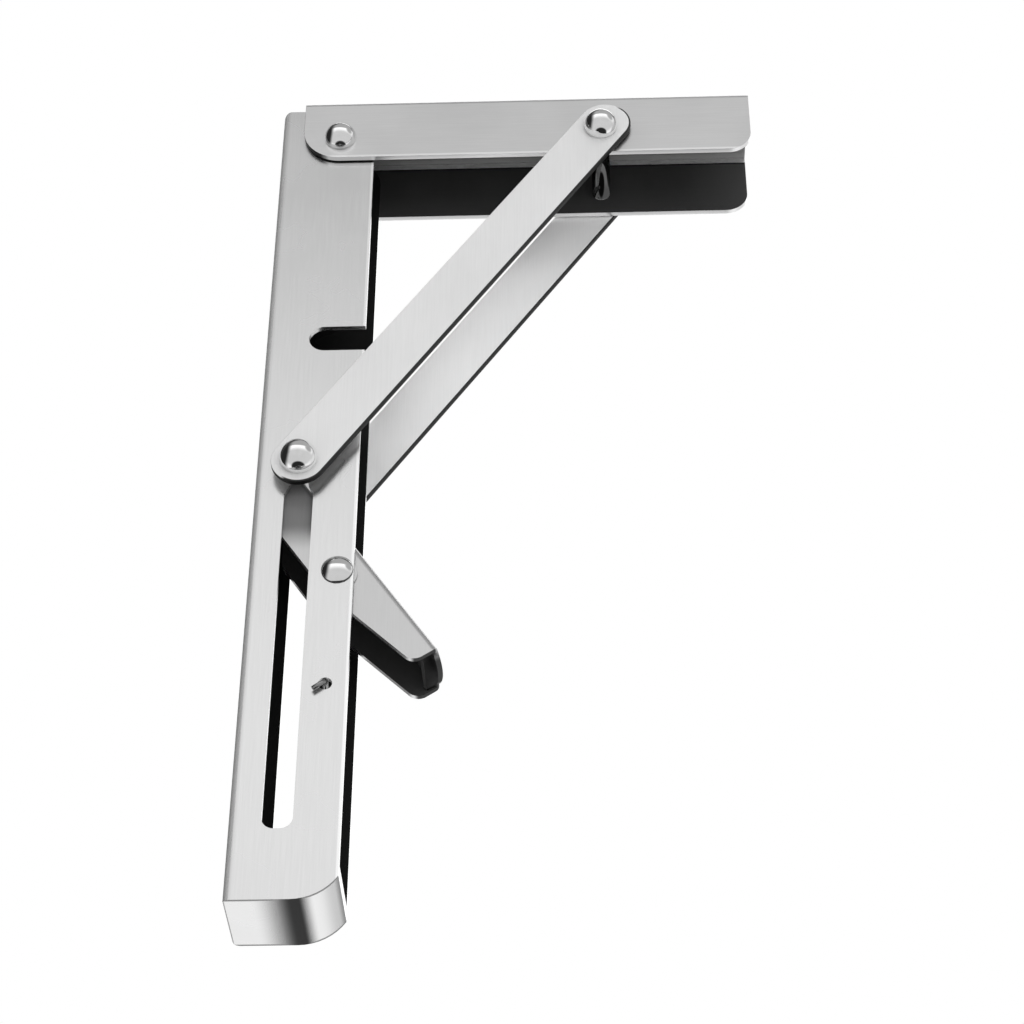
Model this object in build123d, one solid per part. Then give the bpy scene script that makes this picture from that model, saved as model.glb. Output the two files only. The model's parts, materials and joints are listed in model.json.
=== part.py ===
"""Folding shelf bracket: a wall channel, a folding shelf arm and a pair of brace bars, locked by a sprung lever.

Millimetres. The origin is the centre of the wall face, +X points into the room, +Z up, and the two sides are
mirror images about Y = 0. A height is measured from the foot of the wall channel. The arm is modelled unfolded.
"""

from math import acos, asin, atan2, cos, degrees, hypot, pi, radians, sin
import os

from build123d import *

# Sheet and main lengths
SHEET = 1.8
CHANNEL_LENGTH = 300.0
CHANNEL_WIDTH = 26.0
CHANNEL_DEPTH = 31.0
ARM_REACH = 156.0
ARM_DEPTH = 26.3
BRACE_WIDTH = 17.0
BRACE_TAIL = 2.6
BEND_RADIUS = 2.2
FOOT = -CHANNEL_LENGTH / 2

# Pivots, as (distance from the wall, height above the foot)
HINGE_PIVOT = (19.8, 284.8)
BRACE_PIVOT = (106.4, 284.8)
SLIDE_PIVOT = (13.45, 146.3)
LEVER_PIVOT = (26.2, 108.4)
FOLD_ANGLE = 90.0

# Layers, as distances from the middle plane
CHANNEL_OUTER = CHANNEL_WIDTH / 2
CHANNEL_INNER = CHANNEL_OUTER - SHEET
ARM_GAP = 0.5
ARM_INNER = CHANNEL_OUTER + ARM_GAP
ARM_OUTER = ARM_INNER + SHEET
BRACE_GAP = 0.6
BRACE_INNER = ARM_OUTER + BRACE_GAP
BRACE_OUTER = BRACE_INNER + SHEET
LEVER_GAP = 0.6
LEVER_OUTER = CHANNEL_INNER - LEVER_GAP
LEVER_INNER = LEVER_OUTER - SHEET
PLAY = 0.05

# Rivets and pins
SHANK_RADIUS = 3.0
SLIDE_PIN_RADIUS = 2.5
PIN_TIP_PLAY = 0.1
WASHER_RADIUS = 5.8
SPACER_RADIUS = 5.2

# Domed heads, as (radius, straight collar, height over all); the lever's stays low to pass under the brace bars
HINGE_HEAD = (5.2, 0.5, 5.0)
BRACE_HEAD = (5.4, 1.3, 6.2)
SLIDE_HEAD = (5.6, 1.5, 6.5)
LEVER_HEAD = (4.7, 0.4, 2.7)
DOME_STEPS = 3

# Wall channel
TOE_START = 18.0
TOE_RISE = 7.0
TOE_RADIUS = ((CHANNEL_DEPTH - TOE_START) ** 2 + TOE_RISE**2) / (2 * TOE_RISE)
CHANNEL_BACK_CORNER = 2.7
HEEL_OUTER = 0.8
HEEL_INNER = 0.5
SLOT_SIDES = (9.1, 17.8)
SLOT_BOTTOM = 21.8
SLOT_SHOULDER = 136.8
SLOT_NECK_START = 140.6
SLOT_NECK_HALF = 2.7
SLOT_CORNER = 3.5
SLOT_NECK_CORNER = 1.0
NOTCH_CENTRE = HINGE_PIVOT[1] - (BRACE_PIVOT[0] - HINGE_PIVOT[0])
NOTCH_HALF = 4.9
NOTCH_END = 13.5
ROUND_END_LESS = 0.01
WALL_SCREW_HEIGHTS = (45.0, 165.0, 215.0, 265.0)
WALL_SCREW_RADIUS = 2.65
COUNTERSINK_DEPTH = 1.1
SPRING_HOLE = (24.5, 68.7)
SPRING_HOLE_RADIUS = 2.0

# Shelf arm
ARM_BACK = 7.5
ARM_CLEARANCE = 0.3
ARM_HEEL_RADIUS = 12.4
ARM_TOE_RADIUS = 7.5
ARM_TIP_CORNER = 1.2
ARM_BACK_CORNER = 0.6
SHELF_SCREWS = (42.0, 68.0, 116.0, 142.0)
SHELF_SCREW_RADIUS = 2.5

# Release lever: its flange is drawn along the handle (u) and outwards from it (n), from its pivot
HANDLE_SLOPE = 55.9
HANDLE_LENGTH = 38.5
LEVER_WEB = 10.0
HANDLE_TIP_LOW = 1.3
LEVER_BELLY = (3.0, -6.2)
LEVER_WEB_START = -24.0
LEVER_THROAT = -27.0
NOSE_BACK = 6.6
NOSE_HEEL = 126.3
NOSE_FRONT = 18.0
NOSE_SEAT = SLIDE_PIVOT[1] - SLIDE_PIN_RADIUS - PIN_TIP_PLAY
TIP_CORNERS = (1.8, 4.0)
BELLY_RADIUS = 15.0
NOSE_RADII = (3.0, 2.5, 1.8)
THROAT_RADIUS = 6.0
TIP_BULGE = 2.1
TIP_LIP = 4.8
BUSH_RADIUS = 4.2

# Torsion spring round the lever's bush
WIRE_RADIUS = 0.7
WIRE_SIDES = 6
COIL_RADIUS = 5.2
COIL_PITCH = 1.5
COIL_WHOLE_TURNS = 2
COIL_START_Y = -7.4
SPRING_HOOK_OUT = 14.3
SPRING_HOOK_TAIL = (21.2, 66.2)
SPRING_ARM_LENGTH = 22.0
SPRING_BEND = 1.6

SIDES = {"left": -1, "right": 1}


def at(point):
    """A point of the side view, from (distance from the wall, height) to the X and Z of the model."""
    return (point[0], point[1] + FOOT)


def outline(corners):
    """A face in the side view from ((distance, height), corner radius) pairs."""
    points = [at(point) for point, _ in corners]
    radii = [radius for _, radius in corners]
    return Plane.XZ * make_face(FilletPolyline(*points, radius=radii, close=True))


def across(face, half_width):
    """The side view face made solid, evenly about the middle plane."""
    return extrude(face, amount=half_width, both=True)


def layer(face, inner, outer, side):
    """The side view face made solid between two distances from the middle plane, on one side of it."""
    plate = Pos(0, -inner, 0) * extrude(face, amount=outer - inner)
    return plate if side < 0 else mirror(plate, about=Plane.XZ)


def disc(point, radius):
    """A round face in the side view."""
    x, z = at(point)
    return Plane.XZ * Pos(x, z) * Circle(radius)


def ring(point, outer, inner):
    """A washer's face in the side view."""
    x, z = at(point)
    return Plane.XZ * Pos(x, z) * (Circle(outer) - Circle(inner))


def trough(width, depth, length, radius):
    """A bar along +Z whose cross-section has its two corners at -X rounded, as a bent sheet has."""
    section = FilletPolyline(
        (0, -width / 2),
        (depth, -width / 2),
        (depth, width / 2),
        (0, width / 2),
        radius=[radius, 0, 0, radius],
        close=True,
    )
    return extrude(make_face(section), amount=length)


def dome(point, head, seat, side):
    """A rivet's domed head on its seat: a short collar, then a crown turned in a few straight steps."""
    radius, collar, height = head
    crown = height - collar
    sphere = (radius**2 + crown**2) / (2 * crown)
    rim = acos((sphere - crown) / sphere)
    steps = [rim * (1 - count / DOME_STEPS) for count in range(DOME_STEPS + 1)]
    curve = [(sphere * sin(angle), height - sphere * (1 - cos(angle))) for angle in steps]
    profile = make_face(Polyline((0, 0), (radius, 0), *curve, close=True))
    button = revolve(profile, axis=Axis.Y)
    x, z = at(point)
    return Pos(x, side * seat, z) * (button if side > 0 else Rot(0, 0, 180) * button)


def rivet(point, head, seat, radius):
    """A rivet right through the bracket, with a domed head on each side."""
    shank = across(disc(point, radius), seat)
    return shank + dome(point, head, seat, -1) + dome(point, head, seat, 1)


def wall_channel():
    """The pressed channel: web on the wall, two slotted flanges and a closed foot that curves up at the front."""
    front = CHANNEL_DEPTH
    toe = TOE_START + TOE_RADIUS
    top = CHANNEL_LENGTH + SHEET
    cheek = outline(
        [
            ((0, 0), HEEL_OUTER),
            ((front, 0), 0),
            ((front, CHANNEL_LENGTH), front - HINGE_PIVOT[0]),
            ((0, CHANNEL_LENGTH), CHANNEL_BACK_CORNER),
        ]
    )
    sole = outline([((0, 0), 0), ((toe, 0), TOE_RADIUS), ((toe, top), 0), ((0, top), 0)])
    bar = trough(CHANNEL_WIDTH, front, CHANNEL_LENGTH, BEND_RADIUS)
    shell = across(cheek, CHANNEL_OUTER) & across(sole, CHANNEL_OUTER) & (Pos(0, 0, FOOT) * bar)
    inside = outline(
        [
            ((SHEET, SHEET), HEEL_INNER),
            ((toe - SHEET, SHEET), TOE_RADIUS - SHEET),
            ((toe - SHEET, top), 0),
            ((SHEET, top), 0),
        ]
    )
    hollow = across(inside, CHANNEL_INNER)
    body = shell - hollow - across(guide_slot(), CHANNEL_WIDTH) - across(fold_notch(), CHANNEL_WIDTH)
    for pivot in (HINGE_PIVOT, LEVER_PIVOT):
        body -= across(disc(pivot, SHANK_RADIUS), CHANNEL_WIDTH)
    body -= layer(disc(SPRING_HOLE, SPRING_HOLE_RADIUS), LEVER_OUTER, CHANNEL_WIDTH, SIDES["left"])
    for height in WALL_SCREW_HEIGHTS:
        body -= wall_screw_hole(height)
    return body


def guide_slot():
    """The long slot that guides the lower pin, with a necked pocket where the pin rests when unfolded."""
    back, front = SLOT_SIDES
    middle = SLIDE_PIVOT[0]
    top = SLIDE_PIVOT[1] + SLOT_NECK_HALF
    neck_back = middle - SLOT_NECK_HALF
    neck_front = middle + SLOT_NECK_HALF
    round_end = SLOT_NECK_HALF - ROUND_END_LESS
    return outline(
        [
            ((back, SLOT_BOTTOM), SLOT_CORNER),
            ((front, SLOT_BOTTOM), SLOT_CORNER),
            ((front, SLOT_SHOULDER), SLOT_NECK_CORNER),
            ((neck_front, SLOT_NECK_START), SLOT_NECK_CORNER),
            ((neck_front, top), round_end),
            ((neck_back, top), round_end),
            ((neck_back, SLOT_NECK_START), SLOT_NECK_CORNER),
            ((back, SLOT_SHOULDER), SLOT_NECK_CORNER),
        ]
    )


def fold_notch():
    """The notch, open at the front, that takes the brace pivot when the bracket is folded."""
    low = NOTCH_CENTRE - NOTCH_HALF
    high = NOTCH_CENTRE + NOTCH_HALF
    mouth = CHANNEL_DEPTH + SHEET
    round_end = NOTCH_HALF - ROUND_END_LESS
    return outline(
        [((NOTCH_END, low), round_end), ((mouth, low), 0), ((mouth, high), 0), ((NOTCH_END, high), round_end)]
    )


def wall_screw_hole(height):
    """A countersunk screw hole through the web, its cone on the room side."""
    x, z = at((0, height))
    straight = SHEET - COUNTERSINK_DEPTH
    hole = Rot(0, 90, 0) * Cylinder(WALL_SCREW_RADIUS, 4 * SHEET)
    cone = Cone(WALL_SCREW_RADIUS, WALL_SCREW_RADIUS + COUNTERSINK_DEPTH, COUNTERSINK_DEPTH)
    sunk = Pos(straight + COUNTERSINK_DEPTH / 2, 0, 0) * Rot(0, 90, 0) * cone
    return Pos(x, 0, z) * (hole + sunk)


def arm_top():
    """The height of the arm's upper face."""
    return CHANNEL_LENGTH + ARM_CLEARANCE + SHEET


def shelf_arm():
    """The folding arm: a channel open downwards that straddles the wall channel, with its web under the shelf."""
    top = arm_top()
    low = top - ARM_DEPTH
    length = ARM_REACH - ARM_BACK
    blank = across(
        outline(
            [
                ((ARM_BACK, low), ARM_HEEL_RADIUS),
                ((ARM_REACH, low), ARM_TOE_RADIUS),
                ((ARM_REACH, top), ARM_TIP_CORNER),
                ((ARM_BACK, top), ARM_BACK_CORNER),
            ]
        ),
        ARM_OUTER,
    )
    bar = trough(2 * ARM_OUTER, ARM_DEPTH, length, BEND_RADIUS)
    blank = blank & (Pos(ARM_BACK, 0, top + FOOT) * Rot(0, 90, 0) * bar)
    hollow = across(
        outline(
            [
                ((0, low - SHEET), 0),
                ((ARM_REACH + SHEET, low - SHEET), 0),
                ((ARM_REACH + SHEET, top - SHEET), 0),
                ((0, top - SHEET), 0),
            ]
        ),
        ARM_INNER,
    )
    arm = blank - hollow
    arm -= across(disc(HINGE_PIVOT, SHANK_RADIUS + PLAY), CHANNEL_WIDTH)
    arm -= across(disc(BRACE_PIVOT, SHANK_RADIUS), CHANNEL_WIDTH)
    for x in SHELF_SCREWS:
        arm -= Pos(x, 0, top + FOOT) * Cylinder(SHELF_SCREW_RADIUS, 4 * SHEET)
    return arm


def brace_bar(side):
    """One flat brace bar with round ends, from the slide pin to a little past the pivot on the arm."""
    run = BRACE_PIVOT[0] - SLIDE_PIVOT[0]
    climb = BRACE_PIVOT[1] - SLIDE_PIVOT[1]
    length = hypot(run, climb) + BRACE_TAIL
    turned = Pos(*at(SLIDE_PIVOT)) * Rot(0, 0, degrees(atan2(climb, run)))
    blank = turned * Pos(length / 2, 0) * SlotCenterToCenter(length, BRACE_WIDTH)
    upper = Pos(*at(BRACE_PIVOT)) * Circle(SHANK_RADIUS + PLAY)
    lower = Pos(*at(SLIDE_PIVOT)) * Circle(SLIDE_PIN_RADIUS)
    return layer(Plane.XZ * (blank - upper - lower), BRACE_INNER, BRACE_OUTER, side)


def slide_head(side):
    """The outer end of the lower pin: a domed head riveted into the brace bar."""
    plug = layer(disc(SLIDE_PIVOT, SLIDE_PIN_RADIUS), BRACE_INNER, BRACE_OUTER, side)
    return plug + dome(SLIDE_PIVOT, SLIDE_HEAD, BRACE_OUTER, side)


def slide_pin(side):
    """The stretch of the lower pin that runs in the slot of one flange."""
    return layer(disc(SLIDE_PIVOT, SLIDE_PIN_RADIUS), CHANNEL_INNER, BRACE_INNER - 2 * PLAY, side)


def slide_spacer(side):
    """The collar on the lower pin that keeps a brace bar clear of the wall channel."""
    face = ring(SLIDE_PIVOT, SPACER_RADIUS, SLIDE_PIN_RADIUS)
    return layer(face, CHANNEL_OUTER + 2 * PLAY, BRACE_INNER - 2 * PLAY, side)


def washer(point, inner, outer, side):
    """A thin washer that fills the gap between two layers, less the play."""
    return layer(ring(point, WASHER_RADIUS, SHANK_RADIUS), inner + PLAY, outer - PLAY, side)


def handle_axes():
    """The handle's direction and the outward direction, as unit steps in the side view."""
    slope = radians(HANDLE_SLOPE)
    return (cos(slope), -sin(slope)), (sin(slope), cos(slope))


def on_lever(u, n):
    """A point of the lever, from its own u and n to (distance from the wall, height)."""
    along, outward = handle_axes()
    return (
        LEVER_PIVOT[0] + u * along[0] + n * outward[0],
        LEVER_PIVOT[1] + u * along[1] + n * outward[1],
    )


def lever_plane(normal_is_outward):
    """The plane at the lever's pivot with its x along the handle, facing the left side or outwards."""
    along, outward = handle_axes()
    x, z = at(LEVER_PIVOT)
    normal = (outward[0], 0, outward[1]) if normal_is_outward else (0, -1, 0)
    return Plane(origin=(x, 0, z), x_dir=(along[0], 0, along[1]), z_dir=normal)


def release_lever():
    """The sprung lever: a channel whose nose stands under the lower pin and whose handle sticks out."""
    throat = on_lever(LEVER_THROAT, LEVER_WEB)
    flange = outline(
        [
            (on_lever(HANDLE_LENGTH, LEVER_WEB), TIP_CORNERS[0]),
            (on_lever(HANDLE_LENGTH, HANDLE_TIP_LOW), TIP_CORNERS[1]),
            (on_lever(*LEVER_BELLY), BELLY_RADIUS),
            ((NOSE_BACK, NOSE_HEEL), NOSE_RADII[0]),
            ((NOSE_BACK, NOSE_SEAT), NOSE_RADII[1]),
            ((NOSE_FRONT, NOSE_SEAT), NOSE_RADII[2]),
            (throat, THROAT_RADIUS),
        ]
    )
    blank = across(flange, LEVER_OUTER)
    far = 3 * HANDLE_LENGTH
    bend = trough(2 * LEVER_OUTER, far, 2 * far, BEND_RADIUS)
    frame = lever_plane(False)
    bend = frame * Pos(-far, LEVER_WEB, 0) * Rot(0, 90, 0) * Rot(0, 0, -90) * bend
    blank = blank & bend
    inside = LEVER_WEB - SHEET
    hollow = frame * make_face(
        Polyline(
            (-far, -far),
            (far, -far),
            (far, inside),
            (LEVER_WEB_START, inside),
            (LEVER_WEB_START, far),
            (-far, far),
            close=True,
        )
    )
    body = blank - extrude(hollow, amount=LEVER_INNER, both=True)
    body += lever_tip()
    return body - across(disc(LEVER_PIVOT, SHANK_RADIUS + PLAY), CHANNEL_WIDTH)


def lever_tip():
    """The end of the handle: the web runs on in a shallow bow and turns down into a lip with a straight lower edge."""
    half = LEVER_INNER
    bow = (half**2 + TIP_BULGE**2) / (2 * TIP_BULGE)
    centre = HANDLE_LENGTH - SHEET / 3 + TIP_BULGE - bow
    plan = lever_plane(True)
    strip = Pos(HANDLE_LENGTH, 0) * Rectangle(10 * SHEET, 2 * half)
    web = plan * Pos(0, 0, LEVER_WEB - SHEET) * (strip & (Pos(centre, 0) * Circle(bow)))
    lip_end = HANDLE_LENGTH - SHEET / 3
    straight = Polyline((lip_end, -half), (lip_end, half), (lip_end - SHEET, half), (lip_end - SHEET, -half), close=True)
    bowed = [
        ThreePointArc((lip_end, -half), (lip_end + TIP_BULGE, 0), (lip_end, half)),
        Line((lip_end, half), (lip_end - SHEET, half)),
        ThreePointArc((lip_end - SHEET, half), (lip_end - SHEET + TIP_BULGE, 0), (lip_end - SHEET, -half)),
        Line((lip_end - SHEET, -half), (lip_end, -half)),
    ]
    upper = plan * Pos(0, 0, LEVER_WEB - SHEET) * make_face(bowed)
    lower = plan * Pos(0, 0, LEVER_WEB - TIP_LIP) * make_face(straight)
    return extrude(web, amount=SHEET) + loft([lower, upper])


def lever_bush():
    """The sleeve on the lever's rivet that keeps the flanges apart and carries the spring."""
    return across(ring(LEVER_PIVOT, BUSH_RADIUS, SHANK_RADIUS + PLAY), LEVER_INNER)


def lever_spring():
    """The torsion spring: one leg hooked through the left flange, the other bearing on the lever's web."""
    x, z = at(LEVER_PIVOT)
    start, end = spring_angles()
    turns = COIL_WHOLE_TURNS + ((start - end) / radians(360)) % 1
    plane = Plane(origin=(x, COIL_START_Y, z), x_dir=(cos(start), 0, sin(start)), z_dir=(0, 1, 0))
    coil = plane * Helix(pitch=COIL_PITCH, height=COIL_PITCH * turns, radius=COIL_RADIUS)
    leg = hook_reach() * hypot(1, COIL_PITCH / (2 * pi * COIL_RADIUS))
    corner = coil @ 0 - (coil % 0) * leg
    tail_x, tail_z = at(SPRING_HOOK_TAIL)
    anchor = FilletPolyline(
        (tail_x, -SPRING_HOOK_OUT, tail_z),
        (corner.X, -SPRING_HOOK_OUT, corner.Z),
        corner,
        coil @ 0,
        radius=SPRING_BEND,
    )
    arm = Line(coil @ 1, coil @ 1 + (coil % 1) * SPRING_ARM_LENGTH)
    path = Wire([*anchor.edges(), *coil.edges(), *arm.edges()])
    section = Plane(origin=path @ 0, z_dir=path % 0) * RegularPolygon(WIRE_RADIUS, WIRE_SIDES)
    return sweep(section, path=path)


def hook_reach():
    """The length of the spring's hooked leg in the side view, from the coil to the hole in the flange."""
    run = SPRING_HOLE[0] - LEVER_PIVOT[0]
    drop = SPRING_HOLE[1] - LEVER_PIVOT[1]
    return (run**2 + drop**2 - COIL_RADIUS**2) ** 0.5


def spring_angles():
    """The angles in the side view at which the coil starts and ends, so that each leg leaves it along its tangent."""
    along, outward = handle_axes()
    run = SPRING_HOLE[0] - LEVER_PIVOT[0]
    drop = SPRING_HOLE[1] - LEVER_PIVOT[1]
    start = atan2(drop, run) - atan2(hook_reach(), COIL_RADIUS)
    to_web = LEVER_WEB - SHEET - WIRE_RADIUS - PLAY - COIL_RADIUS
    end = atan2(outward[1], outward[0]) + asin(to_web / SPRING_ARM_LENGTH)
    return start, end


def pieces():
    """Every piece of the bracket by name."""
    named = {
        "wall_channel": wall_channel(),
        "shelf_arm": shelf_arm(),
        "release_lever": release_lever(),
        "lever_bush": lever_bush(),
        "lever_spring": lever_spring(),
        "hinge_rivet": rivet(HINGE_PIVOT, HINGE_HEAD, ARM_OUTER + PLAY, SHANK_RADIUS),
        "brace_rivet": rivet(BRACE_PIVOT, BRACE_HEAD, BRACE_OUTER + PLAY, SHANK_RADIUS),
        "lever_rivet": rivet(LEVER_PIVOT, LEVER_HEAD, CHANNEL_OUTER, SHANK_RADIUS),
    }
    for name, side in SIDES.items():
        named[f"{name}_brace_bar"] = brace_bar(side)
        named[f"{name}_slide_head"] = slide_head(side)
        named[f"{name}_slide_pin"] = slide_pin(side)
        named[f"{name}_slide_spacer"] = slide_spacer(side)
        named[f"{name}_hinge_washer"] = washer(HINGE_PIVOT, CHANNEL_OUTER, ARM_INNER, side)
        named[f"{name}_brace_washer"] = washer(BRACE_PIVOT, ARM_OUTER, BRACE_INNER, side)
        named[f"{name}_lever_washer"] = washer(LEVER_PIVOT, LEVER_OUTER, CHANNEL_INNER, side)
    return named


def motion():
    """The numbers that follow from the linkage: the pivots in the model's frame, the travel and the ratios."""
    arm = BRACE_PIVOT[0] - HINGE_PIVOT[0]
    brace = hypot(BRACE_PIVOT[0] - SLIDE_PIVOT[0], BRACE_PIVOT[1] - SLIDE_PIVOT[1])
    folded = (HINGE_PIVOT[0], HINGE_PIVOT[1] - arm)
    low = folded[1] - (brace**2 - (folded[0] - SLIDE_PIVOT[0]) ** 2) ** 0.5
    travel = SLIDE_PIVOT[1] - low
    open_angle = atan2(BRACE_PIVOT[0] - SLIDE_PIVOT[0], BRACE_PIVOT[1] - SLIDE_PIVOT[1])
    folded_angle = atan2(folded[0] - SLIDE_PIVOT[0], folded[1] - low)
    turn = -(open_angle - folded_angle) - radians(FOLD_ANGLE)
    fold = radians(FOLD_ANGLE)
    return {"travel_mm": travel, "m_per_rad": travel / 1000 / fold, "ratio": turn / fold, "turn_deg": degrees(turn)}


os.makedirs("parts", exist_ok=True)
for node, solid in pieces().items():
    export_step(solid, f"parts/{node}.step")
for key, value in motion().items():
    print(key, round(value, 6))
for pivot in (HINGE_PIVOT, BRACE_PIVOT, SLIDE_PIVOT, LEVER_PIVOT):
    print("pivot", at(pivot))
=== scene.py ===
"""Looks of the folding shelf bracket: bright pressed steel, polished rivets and a sprung release lever."""
import json
import math

import bpy
from mathutils import Matrix, Vector

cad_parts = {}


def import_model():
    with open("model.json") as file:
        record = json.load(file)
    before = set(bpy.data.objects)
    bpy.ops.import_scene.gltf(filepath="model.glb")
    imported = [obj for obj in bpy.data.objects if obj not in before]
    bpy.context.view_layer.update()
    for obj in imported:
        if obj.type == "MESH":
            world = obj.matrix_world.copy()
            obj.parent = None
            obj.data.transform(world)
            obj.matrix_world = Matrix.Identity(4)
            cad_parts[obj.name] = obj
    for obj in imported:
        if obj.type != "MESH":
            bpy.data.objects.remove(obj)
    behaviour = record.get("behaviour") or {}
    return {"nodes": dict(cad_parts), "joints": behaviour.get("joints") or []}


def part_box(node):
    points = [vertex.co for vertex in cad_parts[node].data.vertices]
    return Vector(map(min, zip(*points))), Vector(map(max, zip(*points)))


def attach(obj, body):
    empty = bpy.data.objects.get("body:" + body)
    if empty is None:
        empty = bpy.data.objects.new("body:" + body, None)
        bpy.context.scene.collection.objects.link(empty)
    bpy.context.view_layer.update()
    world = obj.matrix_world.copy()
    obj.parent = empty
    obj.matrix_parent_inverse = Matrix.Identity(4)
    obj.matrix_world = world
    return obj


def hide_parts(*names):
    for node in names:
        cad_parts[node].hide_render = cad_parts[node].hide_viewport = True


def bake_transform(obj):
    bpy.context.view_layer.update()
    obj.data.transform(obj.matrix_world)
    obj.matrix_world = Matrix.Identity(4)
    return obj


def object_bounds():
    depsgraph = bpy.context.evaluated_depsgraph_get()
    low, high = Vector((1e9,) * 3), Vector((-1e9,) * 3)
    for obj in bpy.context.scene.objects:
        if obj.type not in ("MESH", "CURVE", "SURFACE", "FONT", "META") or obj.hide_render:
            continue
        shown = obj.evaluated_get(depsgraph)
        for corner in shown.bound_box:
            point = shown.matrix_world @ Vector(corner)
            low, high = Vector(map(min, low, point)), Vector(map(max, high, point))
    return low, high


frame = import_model()
cad_low, cad_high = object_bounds()

MM = 0.001
SIDES = {"left": -1, "right": 1}
JOINTS = {joint["name"]: joint for joint in frame["joints"]}
LEVER_PIVOT = Vector(JOINTS["lever_swing"]["pos_m"])

# Camera, as fitted to the edges of the photograph
CAMERA_PLACE = (0.0984, -0.6161, -0.4830)
CAMERA_YAW = 0.0351
CAMERA_PITCH = 0.6528
CAMERA_ROLL = 0.0031
CAMERA_LENS = 90.2
CAMERA_SENSOR = 36.0
CAMERA_CLIP = (0.01, 50)

# Floor
FLOOR_HEIGHT = -0.62
FLOOR_RADIUS = 3.0
FLOOR_SIDES = 96
FLOOR_TONE = 0.9
FLOOR_ROUGHNESS = 0.8

# Lights, as (name, place, size, power, whether polished faces mirror it)
LIGHT_TARGET = (0.06, 0.0, 0.0)
LIGHTS = (
    ("front_light", (0.8, -1.4, 0.0), 0.9, 7.4, False),
    ("back_light", (0.2, 1.3, 1.6), 2.6, 22, True),
)
TOP_LIGHT = 1.4
TOP_LIGHT_SPREAD = math.radians(70)

# Brightness of the mirrored room by height, as (low, high, brightness at low, brightness at high)
ROOM_FRONT = (0.05, 0.6, 0.62, 1.18)
ROOM_BACK = (-0.35, 0.1, 0.95, 0.12)

# Where the room's ceiling starts, where its front gives way to its back, and the backdrop that is seen
CEILING_STARTS = (0.622, 0.725)
CEILING = 0.4
FRONT_TO_BACK = (-0.1, 0.3)
BACKDROP = 1.0

# Patches in the mirrored room, as (direction, full within degrees, gone at degrees, brightness)
ROOM_PATCHES = (
    ((-0.9, 0.12, 0.35), 30, 58, 0.02),
    ((0.0, 0.15, -1.0), 31, 40, 0.02),
    ((-0.35, 0.45, 0.82), 24, 44, 0.05),
    ((0.9, 0.6, 0.1), 18, 40, 0.75),
    ((0.75, -0.35, 0.55), 8, 24, 0.4),
)

# Grain, clouds and haze on the steel, with tones as (low, high, tone at low, tone at high)
NOISE_DETAIL = 3.0
GRAIN_SCALE = 2400
GRAIN_STRETCH = 0.03
GRAIN_TONE = (0.2, 0.8, 0.975, 1.02)
CLOUD_SCALE = 38
CLOUD_TONE = (0.3, 0.7, 0.975, 1.02)
CLOUD_RANGE = (0.25, 0.75)
ROUGHNESS_SPREAD = (-0.02, 0.03)
HAZE_SCALE = 420
HAZE_RANGE = (0.3, 0.7)
HAZE_SPREAD = (-0.03, 0.02)
GRAIN_DEPTH = 0.0001
GRAIN_STRENGTH = 0.04

# How steel loses its shine where painted shade darkens it, or faces the wall
DULL_TONES = (0.2, 0.5)
DULL_METAL = 0.2
DULL_GLOSS = 0.05
FULL_GLOSS = 0.5
WALLWARD_SHINE = (-0.5, -0.15, 0.15, 1.0)

# Sheared edges: where a face ends and its edge starts, and the painted highlight and painted shade of the
# edges by the way they face
EDGE_SIDE = (0.25, 0.55, 1.0, 0.0)
WALLWARD = (-0.55, -0.2)
EDGE_HIGHLIGHT = 0.95
EDGE_GREY_SHADE = 0.5
EDGE_BLACK_SHADE = 0.02
BAR_EDGE_SHADE = 0.01
LEVER_BACK = (-0.2, 0.2, 0.95, 0.5)
LEVER_END = (0.6, 0.85)
LEVER_END_SHADE = 0.05

# Painted shade and highlights, in millimetres: half their soft border, and how far they reach past a face
PAINT_SOFT = 0.05
PAINT_PAST = 0.15

# Brace bars, in millimetres as in the part, with painted light on their inner faces and a painted shadow
# below
SHEET = 1.8
BRACE_OUTER = 17.7
BRACE_HALF = 8.5
BRACE_TAIL = 2.6
BAR_MARGIN = 0.2
BAR_INNER_LIGHT = 1.25
BAR_SHADOW_WIDTH = 0.6
BAR_SHADOW_DEPTH = 0.97
BAR_SHADOW_STARTS = (-1, 1)

# Wall channel, in millimetres as in the part, with its foot's painted reflection band and painted shade, the
# painted shade of its inside and wall bends, and the painted highlight on its front rim
CHANNEL_INNER = 11.2
TOE_START = 18.0
TOE_RADIUS = 15.57
BAND_GROWS = (7.5, 18.5)
BAND_FADES = (20.5, 24.5)
REFLECTION_BAND_DEPTH = 0.98
FOOT_LIP = (29.6, 31)
FOOT_LIP_SHADE = 0.6
FOOT_SIDE = (11.9, 12.5)
FOOT_SIDE_SHADE = 0.75
FACING_DOWN = (-0.5, -0.3, 1, 0)
WALL_BEND = (0.2, 2.8)
WALL_BEND_SHADE = 0.55
FRONT_RIM = (30, 30.5)
FRONT_RIM_HIGHLIGHT = 1.28
WEB_TO_FLANGE = (2.0, 6.0)
WEB_SHADE = 0.36
FLANGE_SHADE = 0.018

# Shelf arm, in millimetres as in the part, with the painted shade of its inside, a painted highlight and
# black painted shade line in the bend under its top, and a painted highlight on its lower rim
ARM_INNER = 13.5
ARM_WEB_BORDER = 0.1
ARM_WEB_SHADE = 0.3
ARM_HIGHLIGHT_BAND = 2.2
ARM_BEND_HIGHLIGHT = 1.35
ARM_SHADE_LINE = 0.6
ARM_SHADE_LINE_TONE = 0.01
ARM_INSIDE_SHADE = 0.065
ARM_RIM = (0.6, 1.1)
ARM_RIM_HIGHLIGHT = 1.3

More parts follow.
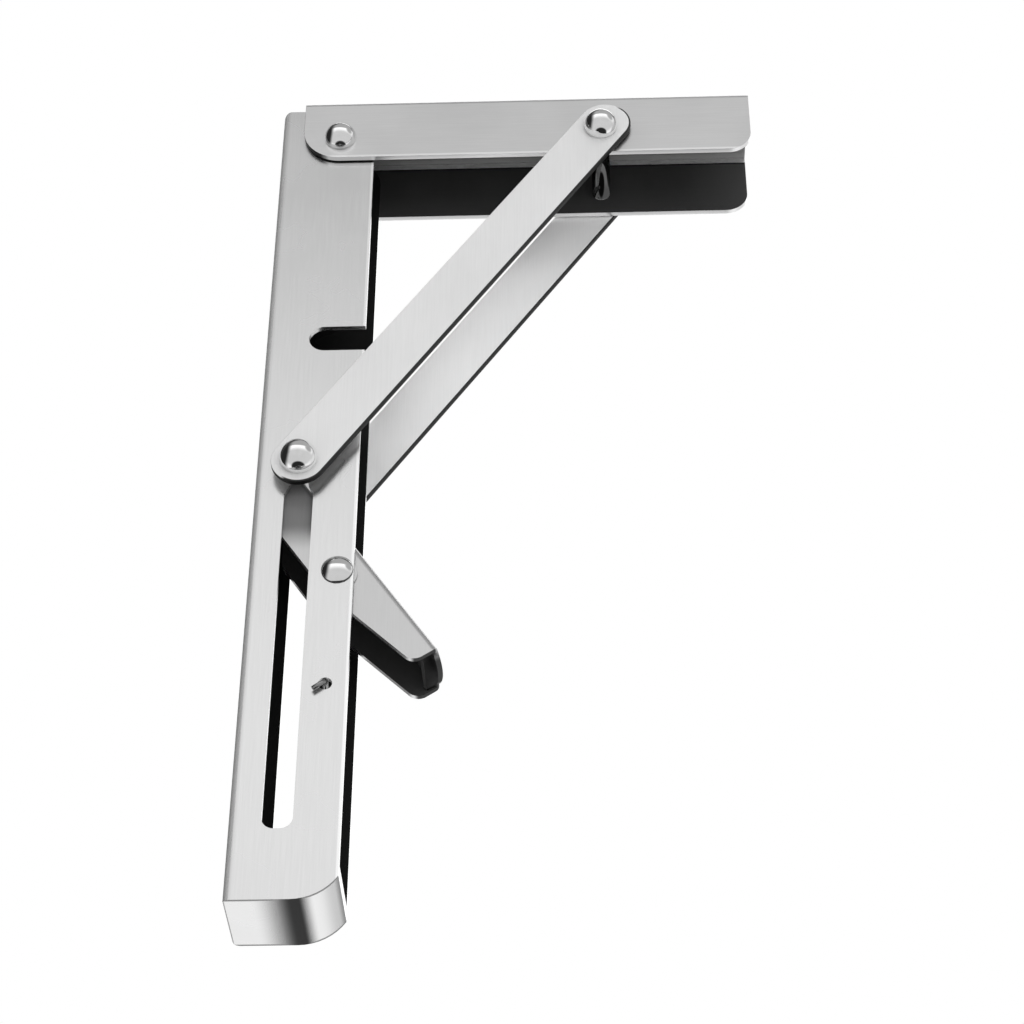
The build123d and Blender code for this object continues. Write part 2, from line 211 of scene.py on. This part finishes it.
# Release lever, in millimetres as in the part, with the painted shade of its inside and the painted shade
# that darkens its nose towards the top
HANDLE_SLOPE = math.radians(55.9)
HANDLE_OUT = (math.sin(HANDLE_SLOPE), 0, math.cos(HANDLE_SLOPE))
HANDLE_ALONG = (math.cos(HANDLE_SLOPE), 0, -math.sin(HANDLE_SLOPE))
LEVER_INNER = 8.8
LEVER_WEB = 10.0
LEVER_INSIDE_SHADE = 0.08
NOSE_SHADE_HEIGHTS = (-33.5, -22.5)
NOSE_SHADE_TONES = (0.93, 0.27)

# Rivets, as (node, body, collar under the dome, seat from the middle plane), and the lower pin
RIVETS = (
    ("hinge_rivet", "wall", 0.5, 15.35),
    ("brace_rivet", "arm", 1.3, 17.75),
    ("lever_rivet", "wall", 0.4, 13.0),
)
SHANK_RADIUS = 3.0
# Painted shade darkening the rivets' shanks between the plates
SHANK_SHADE = 0.12
PIN_RADIUS = 2.5
PIN_GAP = 0.02
PIN_CHAMFER = 0.2
SLIDE_COLLAR = 1.5
RIM_CHAMFER = 0.15
CROWN_STEPS = 16
TURNED_SIDES = 72

# Spring, in millimetres, as in the part
WIRE_RADIUS = 0.7
WIRE_SIDES = 16
WIRE_GAP = 0.05
WIRE_ALONG_Y = 0.9
COIL_RADIUS = 5.2
COIL_PITCH = 1.5
COIL_START_Y = -7.4
COIL_WHOLE_TURNS = 2
COIL_STEPS = 48
SPRING_HOLE = (24.5, -81.3)
SPRING_HOOK_OUT = 14.3
SPRING_HOOK_TAIL = (21.2, -83.8)
SPRING_ARM_LENGTH = 22.0
SPRING_BEND = 1.6
BEND_STEPS = 6

# Broken edges and shading of the solids, with widths in millimetres
BROAD_BEVEL = 0.25
FINE_BEVEL = 0.05
BEVEL_SEGMENTS = 2
BEVEL_ANGLE = math.radians(35)
FLAT_ANGLE = math.radians(0.5)
WELD_DISTANCE = 2e-6
NORMAL_WEIGHT = 80


def mm(*values):
    """Millimetres as metres."""
    return [value * MM for value in values]


def around(value, spread):
    """The low and the high end of a spread round a value."""
    return [value + offset for offset in spread]


def camera():
    """The camera at the photograph's place, looking up at the bracket from below."""
    data = bpy.data.cameras.new("camera")
    data.lens = CAMERA_LENS
    data.sensor_width = CAMERA_SENSOR
    data.clip_start, data.clip_end = CAMERA_CLIP
    placed = bpy.data.objects.new("camera", data)
    forward = Vector(
        (
            -math.sin(CAMERA_YAW) * math.cos(CAMERA_PITCH),
            math.cos(CAMERA_YAW) * math.cos(CAMERA_PITCH),
            math.sin(CAMERA_PITCH),
        )
    )
    right = Vector((math.cos(CAMERA_YAW), math.sin(CAMERA_YAW), 0))
    up = right.cross(forward)
    turn, lean = math.cos(CAMERA_ROLL), math.sin(CAMERA_ROLL)
    x_axis = right * turn + up * lean
    y_axis = up * turn - right * lean
    basis = Matrix((x_axis, y_axis, -forward)).transposed().to_4x4()
    placed.matrix_world = Matrix.Translation(CAMERA_PLACE) @ basis
    bpy.context.scene.collection.objects.link(placed)
    bpy.context.scene.camera = placed


class Graph:
    """A small helper for node trees: values, maths and mixes joined in one line each."""

    def __init__(self, tree):
        self.nodes = tree.nodes
        self.links = tree.links

    def feed(self, socket, value):
        """Joins a socket to another, or sets its value."""
        if isinstance(value, bpy.types.NodeSocket):
            self.links.new(value, socket)
        else:
            socket.default_value = value

    def coordinates(self, kind):
        """A vector of the point being shaded."""
        return self.nodes.new("ShaderNodeTexCoord").outputs[kind]

    def math(self, operation, *values):
        """A Math node's result."""
        node = self.nodes.new("ShaderNodeMath")
        node.operation = operation
        for socket, value in zip(node.inputs, values):
            self.feed(socket, value)
        return node.outputs[0]

    def times(self, product, *others):
        """The product of some values."""
        for other in others:
            product = self.math("MULTIPLY", product, other)
        return product

    def most(self, largest, *others):
        """The largest of some values."""
        for other in others:
            largest = self.math("MAXIMUM", largest, other)
        return largest

    def step(self, value, low, high, start=0.0, end=1.0):
        """A smooth step of a value from start to end as it goes from low to high."""
        node = self.nodes.new("ShaderNodeMapRange")
        node.interpolation_type = "SMOOTHSTEP"
        self.feed(node.inputs["Value"], value)
        node.inputs["From Min"].default_value = low
        node.inputs["From Max"].default_value = high
        node.inputs["To Min"].default_value = start
        node.inputs["To Max"].default_value = end
        return node.outputs["Result"]

    def below(self, value, limit):
        """1 where a value in metres is under a limit in millimetres."""
        return self.step(value, *mm(limit - PAINT_SOFT, limit + PAINT_SOFT), 1.0, 0.0)

    def above(self, value, limit):
        """1 where a value in metres is over a limit in millimetres."""
        return self.step(value, *mm(limit - PAINT_SOFT, limit + PAINT_SOFT), 0.0, 1.0)

    def vector_math(self, operation, *values, result=0):
        """A Vector Math node's result."""
        node = self.nodes.new("ShaderNodeVectorMath")
        node.operation = operation
        for socket, value in zip(node.inputs, values):
            self.feed(socket, value)
        return node.outputs[result]

    def dot(self, first, second):
        """The dot product of two vectors."""
        return self.vector_math("DOT_PRODUCT", first, second, result=1)

    def split(self, vector):
        """A vector's three numbers."""
        node = self.nodes.new("ShaderNodeSeparateXYZ")
        self.feed(node.inputs[0], vector)
        return node.outputs

    def blend(self, share, first, second):
        """A value that goes from first to second as the share goes from 0 to 1."""
        node = self.nodes.new("ShaderNodeMix")
        self.feed(node.inputs[0], share)
        self.feed(node.inputs[2], first)
        self.feed(node.inputs[3], second)
        return node.outputs[0]

    def grey(self, level):
        """A neutral colour from one value."""
        node = self.nodes.new("ShaderNodeCombineColor")
        for socket in node.inputs:
            self.feed(socket, level)
        return node.outputs[0]

    def noise(self, vector, scale, stretch=None):
        """Noise over a vector, stretched along an axis where asked."""
        if stretch:
            scaled = self.nodes.new("ShaderNodeMapping")
            scaled.inputs["Scale"].default_value = stretch
            self.feed(scaled.inputs["Vector"], vector)
            vector = scaled.outputs[0]
        node = self.nodes.new("ShaderNodeTexNoise")
        self.feed(node.inputs["Vector"], vector)
        node.inputs["Scale"].default_value = scale
        node.inputs["Detail"].default_value = NOISE_DETAIL
        return node.outputs["Fac"]


def lobe(graph, direction, towards, inner, outer):
    """1 where the direction is within inner degrees of towards, falling to 0 at outer degrees."""
    cosine = graph.dot(direction, Vector(towards).normalized())
    return graph.step(cosine, math.cos(math.radians(outer)), math.cos(math.radians(inner)))


def world():
    """A pale studio: a bright room in front, a darker one behind, and patches for the polished steel."""
    made = bpy.data.worlds.new("studio")
    bpy.context.scene.world = made
    made.use_nodes = True
    graph = Graph(made.node_tree)
    graph.nodes.clear()
    direction = graph.coordinates("Generated")
    _, y, z = graph.split(direction)
    front = graph.blend(graph.step(z, *CEILING_STARTS), graph.step(z, *ROOM_FRONT), CEILING)
    level = graph.blend(graph.step(y, *FRONT_TO_BACK), front, graph.step(z, *ROOM_BACK))
    for towards, inner, outer, brightness in ROOM_PATCHES:
        level = graph.blend(lobe(graph, direction, towards, inner, outer), level, brightness)
    seen = graph.nodes.new("ShaderNodeLightPath").outputs["Is Camera Ray"]
    level = graph.blend(seen, level, BACKDROP)
    sky = graph.nodes.new("ShaderNodeBackground")
    graph.feed(sky.inputs["Color"], graph.grey(level))
    out = graph.nodes.new("ShaderNodeOutputWorld")
    graph.links.new(sky.outputs[0], out.inputs["Surface"])


def floor():
    """A plain pale floor under the bracket, which the polished pieces don't mirror."""
    mesh = bpy.data.meshes.new("floor")
    turns = [math.tau * k / FLOOR_SIDES for k in range(FLOOR_SIDES)]
    rim = [(FLOOR_RADIUS * math.cos(a), FLOOR_RADIUS * math.sin(a), FLOOR_HEIGHT) for a in turns]
    mesh.from_pydata(rim, [], [list(range(FLOOR_SIDES))])
    ground = bpy.data.objects.new("floor", mesh)
    bpy.context.scene.collection.objects.link(ground)
    ground.visible_glossy = False
    made = bpy.data.materials.new("floor")
    made.use_nodes = True
    shader = made.node_tree.nodes["Principled BSDF"]
    shader.inputs["Base Color"].default_value = (FLOOR_TONE, FLOOR_TONE, FLOOR_TONE, 1.0)
    shader.inputs["Roughness"].default_value = FLOOR_ROUGHNESS
    mesh.materials.append(made)


def add_light(data, mirrored):
    """A light in the scene, which polished faces mirror only where mirrored says so."""
    light = bpy.data.objects.new(data.name, data)
    bpy.context.scene.collection.objects.link(light)
    light.visible_glossy = mirrored
    return light


def round_light(name, place, size, power, mirrored):
    """A soft round light that looks at the bracket."""
    data = bpy.data.lights.new(name, "AREA")
    data.shape = "DISK"
    data.size = size
    data.energy = power
    light = add_light(data, mirrored)
    light.location = place
    light.rotation_mode = "QUATERNION"
    light.rotation_quaternion = (Vector(LIGHT_TARGET) - Vector(place)).to_track_quat("-Z", "Y")


def top_light():
    """An even light from straight above, for the floor and the dull faces."""
    data = bpy.data.lights.new("top_light", "SUN")
    data.energy = TOP_LIGHT
    data.angle = TOP_LIGHT_SPREAD
    add_light(data, False)


def new_material(name):
    """A new material, as its datablock, its node helper and its shader."""
    made = bpy.data.materials.new(name)
    made.use_nodes = True
    graph = Graph(made.node_tree)
    return made, graph, graph.nodes["Principled BSDF"]


def steel(name, tone, rough, grain_axis=2, metallic=1.0, shade=None, cut=None, dull_back=False):
    """Bright sheet steel with a faint rolling grain and clouded gloss.

    shade gives the painted shade of the inner faces and the other painted shade, highlights and reflections,
    and cut the painted highlight and shade of the sheared edges.
    dull_back leaves the faces and bends towards the wall without their shine.
    """
    made, graph, shader = new_material(name)
    where = graph.coordinates("Object")
    normal = graph.coordinates("Normal")
    stretch = [1.0, 1.0, 1.0]
    stretch[grain_axis] = GRAIN_STRETCH
    grain = graph.noise(where, GRAIN_SCALE, stretch)
    cloud = graph.noise(where, CLOUD_SCALE)
    level = graph.times(graph.step(cloud, *CLOUD_TONE), graph.step(grain, *GRAIN_TONE), tone)
    # Painted highlight and painted shade on the sheared edges, by the way each edge faces
    if cut:
        side = graph.math("ABSOLUTE", graph.split(normal)[1])
        level = graph.blend(graph.step(side, *EDGE_SIDE), level, cut(graph, normal))
    if shade:
        level = graph.times(level, shade(graph, where, normal))
    graph.feed(shader.inputs["Base Color"], graph.grey(level))
    roughness = graph.step(cloud, *CLOUD_RANGE, *around(rough, ROUGHNESS_SPREAD))
    graph.feed(shader.inputs["Roughness"], roughness)
    shader.inputs["Metallic"].default_value = metallic
    if shade and metallic == 1.0:
        shine = graph.step(level, *DULL_TONES, DULL_METAL, 1.0)
        if dull_back:
            shine = graph.times(shine, graph.step(graph.split(normal)[0], *WALLWARD_SHINE))
        graph.feed(shader.inputs["Metallic"], shine)
        gloss = graph.step(level, *DULL_TONES, DULL_GLOSS, FULL_GLOSS)
        graph.feed(shader.inputs["Specular IOR Level"], gloss)
    bump = graph.nodes.new("ShaderNodeBump")
    bump.inputs["Strength"].default_value = GRAIN_STRENGTH
    bump.inputs["Distance"].default_value = GRAIN_DEPTH
    graph.feed(bump.inputs["Height"], grain)
    graph.feed(shader.inputs["Normal"], bump.outputs[0])
    return made


def chrome(name, tone, rough, shade_within=0):
    """Polished steel with the faintest haze, darkened with painted shade within a distance of the middle
    plane.
    """
    made, graph, shader = new_material(name)
    where = graph.coordinates("Object")
    haze = graph.noise(where, HAZE_SCALE)
    level = graph.step(haze, *HAZE_RANGE, *around(tone, HAZE_SPREAD))
    if shade_within:
        y = graph.math("ABSOLUTE", graph.split(where)[1])
        level = graph.blend(graph.below(y, shade_within), level, SHANK_SHADE)
    graph.feed(shader.inputs["Base Color"], graph.grey(level))
    roughness = graph.step(haze, *HAZE_RANGE, *around(rough, ROUGHNESS_SPREAD))
    graph.feed(shader.inputs["Roughness"], roughness)
    shader.inputs["Metallic"].default_value = 1.0
    return made


def edge_highlight_black_shade(graph, normal):
    """Painted highlight on sheared edges that face down or forward, and black painted shade on those towards
    the wall.
    """
    return graph.step(graph.split(normal)[0], *WALLWARD, EDGE_BLACK_SHADE, EDGE_HIGHLIGHT)


def edge_highlight_grey_shade(graph, normal):
    """Painted highlight on sheared edges that face down or forward, and grey painted shade on those towards
    the wall.
    """
    return graph.step(graph.split(normal)[0], *WALLWARD, EDGE_GREY_SHADE, EDGE_HIGHLIGHT)


def bar_edge_shade(graph, normal):
    """Sheared edges of the bars, darkened with painted shade."""
    return BAR_EDGE_SHADE


def lever_edge_light_and_shade(graph, normal):
    """The lever's back is painted grey with shade, as grey as its sides, its end is darkened with painted
    shade, and the edges of its sides carry a painted highlight.
    """
    tone = graph.step(graph.dot(normal, HANDLE_OUT), *LEVER_BACK)
    end = graph.step(graph.dot(normal, HANDLE_ALONG), *LEVER_END)
    return graph.blend(end, tone, LEVER_END_SHADE)


def bar_shadow_line(graph, where):
    """1 on a narrow line along the lower edges of the brace bars, from end to end, where a shadow is
    painted.
    """
    low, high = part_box("left_slide_head")
    foot = (low + high) / 2
    head = Vector(JOINTS["brace_pivot"]["pos_m"])
    bar = Vector((head.x - foot.x, 0, head.z - foot.z))
    along = bar.normalized()
    under_bar = Vector((-along.z, 0, along.x)) * (-1 if along.x > 0 else 1)
    from_head = graph.vector_math("SUBTRACT", where, head)
    run = graph.dot(from_head, along)
    beside = graph.dot(from_head, under_bar)
    past_head = graph.most(graph.math("SUBTRACT", run, BRACE_TAIL * MM), 0.0)
    past_foot = graph.most(graph.math("SUBTRACT", graph.times(run, -1.0), bar.length), 0.0)
    past = graph.most(past_head, past_foot)
    squares = graph.math("ADD", graph.math("POWER", past, 2.0), graph.math("POWER", beside, 2.0))
    rim = graph.above(graph.math("SQRT", squares), BRACE_HALF - BAR_SHADOW_WIDTH)
    return graph.times(rim, graph.step(beside, *mm(*BAR_SHADOW_STARTS)))


def bar_shade(graph, where, normal):
    """Painted light on the brace bars' inner faces, and a painted shadow line along their lower edges."""
    y = graph.math("ABSOLUTE", graph.split(where)[1])
    inner_face = BRACE_OUTER - SHEET
    faces = graph.step(y, *mm(inner_face + BAR_MARGIN, BRACE_OUTER - BAR_MARGIN), BAR_INNER_LIGHT, 1.0)
    line = graph.times(bar_shadow_line(graph, where), BAR_SHADOW_DEPTH)
    return graph.times(faces, graph.math("SUBTRACT", 1.0, line))


def channel_inside(graph, where):
    """1 inside the wall channel, on its flanges, its web and its foot's flap, where painted shade darkens
    it.
    """
    x, y, z = graph.split(where)
    foot = cad_low.z / MM
    within = graph.below(graph.math("ABSOLUTE", y), CHANNEL_INNER + PAINT_PAST)
    off_web = graph.above(x, SHEET - PAINT_PAST)
    toe = (*mm(TOE_START), 0, *mm(foot + TOE_RADIUS))
    flat = graph.vector_math("MULTIPLY", graph.vector_math("SUBTRACT", where, toe), (1, 0, 1))
    from_toe = graph.vector_math("LENGTH", flat, result=1)
    off_toe = graph.below(from_toe, TOE_RADIUS - SHEET + PAINT_PAST)
    over = graph.above(z, foot + TOE_RADIUS)
    behind = graph.times(graph.below(x, TOE_START), graph.above(z, foot + SHEET - PAINT_PAST))
    return graph.times(within, off_web, graph.most(off_toe, over, behind))


def foot_reflection_and_shade(graph, where):
    """How dark the foot is: a painted dark reflection band across its shine, and painted shade on its
    rounded lip and its side bends.
    """
    x, y, _ = graph.split(where)
    band = graph.times(graph.step(x, *mm(*BAND_GROWS)), graph.step(x, *mm(*BAND_FADES), 1.0, 0.0))
    lip = graph.step(x, *mm(*FOOT_LIP), 0.0, FOOT_LIP_SHADE)
    bend = graph.step(graph.math("ABSOLUTE", y), *mm(*FOOT_SIDE), 0.0, FOOT_SIDE_SHADE)
    return graph.most(graph.times(band, REFLECTION_BAND_DEPTH), lip, bend)


def channel_shade(graph, where, normal):
    """The wall channel's painted shade inside, its grey painted shade at the wall bends, its painted
    highlight on the front rim and its foot's painted reflection and shade.
    """
    x, _, z = graph.split(where)
    down = graph.step(graph.split(normal)[2], *FACING_DOWN)
    sole = graph.times(graph.below(z, cad_low.z / MM + TOE_RADIUS), down)
    # Painted shade at the wall bend, and a painted highlight on the front rim
    wall_bend = graph.step(x, *mm(*WALL_BEND), WALL_BEND_SHADE, 1.0)
    flange = graph.times(wall_bend, graph.step(x, *mm(*FRONT_RIM), 1.0, FRONT_RIM_HIGHLIGHT))
    outer = graph.blend(sole, flange, graph.math("SUBTRACT", 1.0, foot_reflection_and_shade(graph, where)))
    inner = graph.step(x, *mm(*WEB_TO_FLANGE), WEB_SHADE, FLANGE_SHADE)
    return graph.blend(channel_inside(graph, where), outer, inner)


def arm_shade(graph, where, normal):
    """The shelf arm's painted shade inside, lighter on the web, a painted highlight with a black painted
    shade line below it in the bend under its top, and a painted highlight on its lower rim.
    """
    _, y, z = graph.split(where)
    web = cad_high.z / MM - SHEET
    deep = graph.blend(graph.below(z, web - ARM_HIGHLIGHT_BAND - ARM_SHADE_LINE), ARM_SHADE_LINE_TONE, ARM_INSIDE_SHADE)
    side = graph.blend(graph.below(z, web - ARM_HIGHLIGHT_BAND), ARM_BEND_HIGHLIGHT, deep)
    inner = graph.blend(graph.below(z, web - ARM_WEB_BORDER), ARM_WEB_SHADE, side)
    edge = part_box("shelf_arm")[0].z
    outer = graph.step(z, edge + ARM_RIM[0] * MM, edge + ARM_RIM[1] * MM, ARM_RIM_HIGHLIGHT, 1.0)
    under = graph.below(z, web + PAINT_PAST)
    within = graph.below(graph.math("ABSOLUTE", y), ARM_INNER + PAINT_PAST)
    return graph.blend(graph.times(under, within), outer, inner)


def lever_shade(graph, where, normal):
    """The release lever's painted shade inside, and painted shade that darkens its nose towards the top."""
    _, y, z = graph.split(where)
    height = graph.dot(graph.vector_math("SUBTRACT", where, LEVER_PIVOT), HANDLE_OUT)
    under = graph.below(height, LEVER_WEB - SHEET + PAINT_PAST)
    within = graph.below(graph.math("ABSOLUTE", y), LEVER_INNER + PAINT_PAST)
    nose_shade = graph.step(z, *mm(*NOSE_SHADE_HEIGHTS), *NOSE_SHADE_TONES)
    return graph.blend(graph.times(under, within), nose_shade, LEVER_INSIDE_SHADE)


def dress(name, material, bevel):
    """Gives a CAD node its material, soft shading and fine broken edges."""
    piece = frame["nodes"][name]
    piece.data.materials.clear()
    piece.data.materials.append(material)
    piece.data.shade_smooth()
    weld = piece.modifiers.new("weld", "WELD")
    weld.merge_threshold = WELD_DISTANCE
    if bevel:
        flat = piece.modifiers.new("flat", "DECIMATE")
        flat.decimate_type = "DISSOLVE"
        flat.angle_limit = FLAT_ANGLE
        soft = piece.modifiers.new("edge", "BEVEL")
        soft.width = bevel * MM
        soft.segments = BEVEL_SEGMENTS
        soft.limit_method = "ANGLE"
        soft.angle_limit = BEVEL_ANGLE
        soft.harden_normals = False
        soft.use_clamp_overlap = True
    normals = piece.modifiers.new("normals", "WEIGHTED_NORMAL")
    normals.keep_sharp = False
    normals.weight = NORMAL_WEIGHT


def link(name, mesh, material, body):
    """A new piece in the scene, riding on a body where it has one, with its material."""
    piece = bpy.data.objects.new(name, mesh)
    bpy.context.scene.collection.objects.link(piece)
    mesh.materials.append(material)
    mesh.shade_smooth()
    if body:
        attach(piece, body)
    return piece


def tube(points, radius):
    """A round tube mesh along a list of points, closed at both ends."""
    verts, faces = [], []
    previous = None
    for index, point in enumerate(points):
        before = points[max(index - 1, 0)]
        after = points[min(index + 1, len(points) - 1)]
        tangent = (after - before).normalized()
        if previous is None:
            previous = Vector((0, 1, 0)) if abs(tangent.y) < WIRE_ALONG_Y else Vector((1, 0, 0))
        across = (previous - tangent * previous.dot(tangent)).normalized()
        previous = across
        other = tangent.cross(across)
        for k in range(WIRE_SIDES):
            a = math.tau * k / WIRE_SIDES
            verts.append(point + (across * math.cos(a) + other * math.sin(a)) * radius)
    for ring in range(len(points) - 1):
        for k in range(WIRE_SIDES):
            first = ring * WIRE_SIDES + k
            second = ring * WIRE_SIDES + (k + 1) % WIRE_SIDES
            faces.append((first, second, second + WIRE_SIDES, first + WIRE_SIDES))
    faces.append(tuple(reversed(range(WIRE_SIDES))))
    last = (len(points) - 1) * WIRE_SIDES
    faces.append(tuple(last + k for k in range(WIRE_SIDES)))
    mesh = bpy.data.meshes.new("tube")
    mesh.from_pydata(verts, [], faces)
    return mesh


def rounded(corners, radius):
    """The points of a path with its inner corners rounded."""
    path = [corners[0]]
    for before, corner, after in zip(corners, corners[1:], corners[2:]):
        back = (before - corner).normalized()
        on = (after - corner).normalized()
        reach = radius / math.tan(back.angle(on) / 2)
        start = corner + back * reach
        end = corner + on * reach
        for k in range(BEND_STEPS + 1):
            t = k / BEND_STEPS
            path.append(start * (1 - t) ** 2 + corner * 2 * t * (1 - t) + end * t**2)
    return path + [corners[-1]]


def spring_path():
    """The middle of the spring's wire in millimetres, from its hook through the coil to its straight arm."""
    centre = LEVER_PIVOT / MM
    run = SPRING_HOLE[0] - centre.x
    drop = SPRING_HOLE[1] - centre.z
    reach = math.sqrt(run**2 + drop**2 - COIL_RADIUS**2)
    start = math.atan2(drop, run) - math.atan2(reach, COIL_RADIUS)
    to_web = LEVER_WEB - SHEET - WIRE_RADIUS - WIRE_GAP - COIL_RADIUS
    end = math.atan2(HANDLE_OUT[2], HANDLE_OUT[0]) + math.asin(to_web / SPRING_ARM_LENGTH)
    turns = COIL_WHOLE_TURNS + ((start - end) / math.tau) % 1
    rise = COIL_PITCH / (math.tau * COIL_RADIUS)

    def coil(share):
        angle = start - math.tau * turns * share
        x = centre.x + COIL_RADIUS * math.cos(angle)
        z = centre.z + COIL_RADIUS * math.sin(angle)
        return Vector((x, COIL_START_Y + COIL_PITCH * turns * share, z))

    def heading(share):
        angle = start - math.tau * turns * share
        return Vector((math.sin(angle), rise, -math.cos(angle))).normalized()

    first, last = coil(0), coil(1)
    corner = first - heading(0) * reach * math.hypot(1, rise)
    hook = [
        Vector((SPRING_HOOK_TAIL[0], -SPRING_HOOK_OUT, SPRING_HOOK_TAIL[1])),
        Vector((corner.x, -SPRING_HOOK_OUT, corner.z)),
        corner,
        first,
    ]
    count = round(COIL_STEPS * turns)
    path = rounded(hook, SPRING_BEND)[:-1]
    path += [coil(k / count) for k in range(count + 1)]
    path.append(last + heading(1) * SPRING_ARM_LENGTH)
    return path


def spring(material):
    """The lever's torsion spring, wound round its bush."""
    wire = tube([point * MM for point in spring_path()], WIRE_RADIUS * MM)
    piece = link("spring_wire", wire, material, None)
    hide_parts("lever_spring")
    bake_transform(piece)


def lathe(profile, centre):
    """A turned mesh about an axis along Y.

    The profile is a list of (radius, y) points in millimetres, with its first and last point on the axis.
    """
    verts, faces = [], []
    for radius, y in profile:
        for k in range(TURNED_SIDES if radius else 1):
            a = math.tau * k / TURNED_SIDES
            x = centre.x + radius * MM * math.cos(a)
            z = centre.z + radius * MM * math.sin(a)
            verts.append((x, y * MM, z))
    rings = len(profile) - 2
    for k in range(TURNED_SIDES):
        k_next = (k + 1) % TURNED_SIDES
        faces.append((0, 1 + k, 1 + k_next))
        for ring in range(rings - 1):
            first = 1 + ring * TURNED_SIDES
            second = first + TURNED_SIDES
            faces.append((first + k, second + k, second + k_next, first + k_next))
        last = 1 + (rings - 1) * TURNED_SIDES
        faces.append((last + k, last + TURNED_SIDES, last + k_next))
    mesh = bpy.data.meshes.new("turned")
    mesh.from_pydata(verts, [], faces)
    mesh.validate()
    return mesh


def crown(radius, collar, seat, height):
    """The profile of a domed head from its top down to its seat, with a fine chamfer under the collar."""
    rise = height - collar
    sphere = (radius**2 + rise**2) / (2 * rise)
    rim = math.acos((sphere - rise) / sphere)
    top = seat + height
    angles = [rim * k / CROWN_STEPS for k in range(CROWN_STEPS + 1)]
    curve = [(sphere * math.sin(a), top - sphere * (1 - math.cos(a))) for a in angles]
    return [(0, top)] + curve[1:] + [(radius, seat + RIM_CHAMFER), (radius - RIM_CHAMFER, seat)]


def rivet(name, body, collar, seat, material):
    """A polished rivet with a smooth dome on each side."""
    low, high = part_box(name)
    radius = (high.x - low.x) / 2 / MM
    head = crown(radius, collar, seat, high.y / MM - seat)
    profile = head + [(SHANK_RADIUS, seat)]
    profile += [(r, -y) for r, y in reversed(profile)]
    turned = lathe(profile, (low + high) / 2)
    piece = link(f"{name}_turned", turned, material, body)
    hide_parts(name)


def slide_head(side, sign, material):
    """A smooth domed end of the lower pin, with its plug in the brace bar."""
    name = f"{side}_slide_head"
    low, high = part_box(name)
    radius = (high.x - low.x) / 2 / MM
    reach = max(abs(low.y), abs(high.y)) / MM
    inner = min(abs(low.y), abs(high.y)) / MM
    profile = crown(radius, SLIDE_COLLAR, BRACE_OUTER, reach - BRACE_OUTER)
    profile += [(PIN_RADIUS, BRACE_OUTER), (PIN_RADIUS, inner), (0, inner)]
    turned = lathe([(r, sign * y) for r, y in profile], (low + high) / 2)
    if sign < 0:
        turned.flip_normals()
    piece = link(f"{name}_turned", turned, material, "brace")
    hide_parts(name)


def pin_shaft(material):
    """The lower pin's stretch between the flanges, which stands on the lever's nose, with chamfered ends."""
    low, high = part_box("left_slide_pin")
    half = CHANNEL_INNER - PIN_GAP
    ends = [(0, half), (PIN_RADIUS - PIN_CHAMFER, half), (PIN_RADIUS, half - PIN_CHAMFER)]
    profile = ends + [(r, -y) for r, y in reversed(ends)]
    link("lower_pin_shaft", lathe(profile, (low + high) / 2), material, "slider")


bpy.context.scene.view_settings.view_transform = "Standard"
camera()
world()
floor()
for name, place, size, power, mirrored in LIGHTS:
    round_light(name, place, size, power, mirrored)
top_light()

channel_steel = steel("channel_steel", 0.725, 0.26, shade=channel_shade, cut=edge_highlight_grey_shade, dull_back=True)
arm_steel = steel("arm_steel", 0.76, 0.30, grain_axis=0, shade=arm_shade, cut=edge_highlight_black_shade)
bar_steel = steel("bar_steel", 0.76, 0.5, metallic=0.35, shade=bar_shade, cut=bar_edge_shade)
lever_steel = steel("lever_steel", 0.69, 0.34, shade=lever_shade, cut=lever_edge_light_and_shade)
plain_steel = steel("plain_steel", 0.66, 0.35)
spring_steel = chrome("spring_steel", 0.32, 0.2)
rivet_chrome = chrome("rivet_chrome", 0.93, 0.06, ARM_INNER)

dress("wall_channel", channel_steel, BROAD_BEVEL)
dress("shelf_arm", arm_steel, BROAD_BEVEL)
dress("release_lever", lever_steel, BROAD_BEVEL)
dress("lever_bush", plain_steel, 0)
for name, body, collar, seat in RIVETS:
    rivet(name, body, collar, seat, rivet_chrome)
for side, sign in SIDES.items():
    dress(f"{side}_brace_bar", bar_steel, BROAD_BEVEL)
    slide_head(side, sign, rivet_chrome)
    for kind in ("slide_pin", "slide_spacer", "hinge_washer", "brace_washer", "lever_washer"):
        dress(f"{side}_{kind}", plain_steel, FINE_BEVEL)
spring(spring_steel)
pin_shaft(plain_steel)
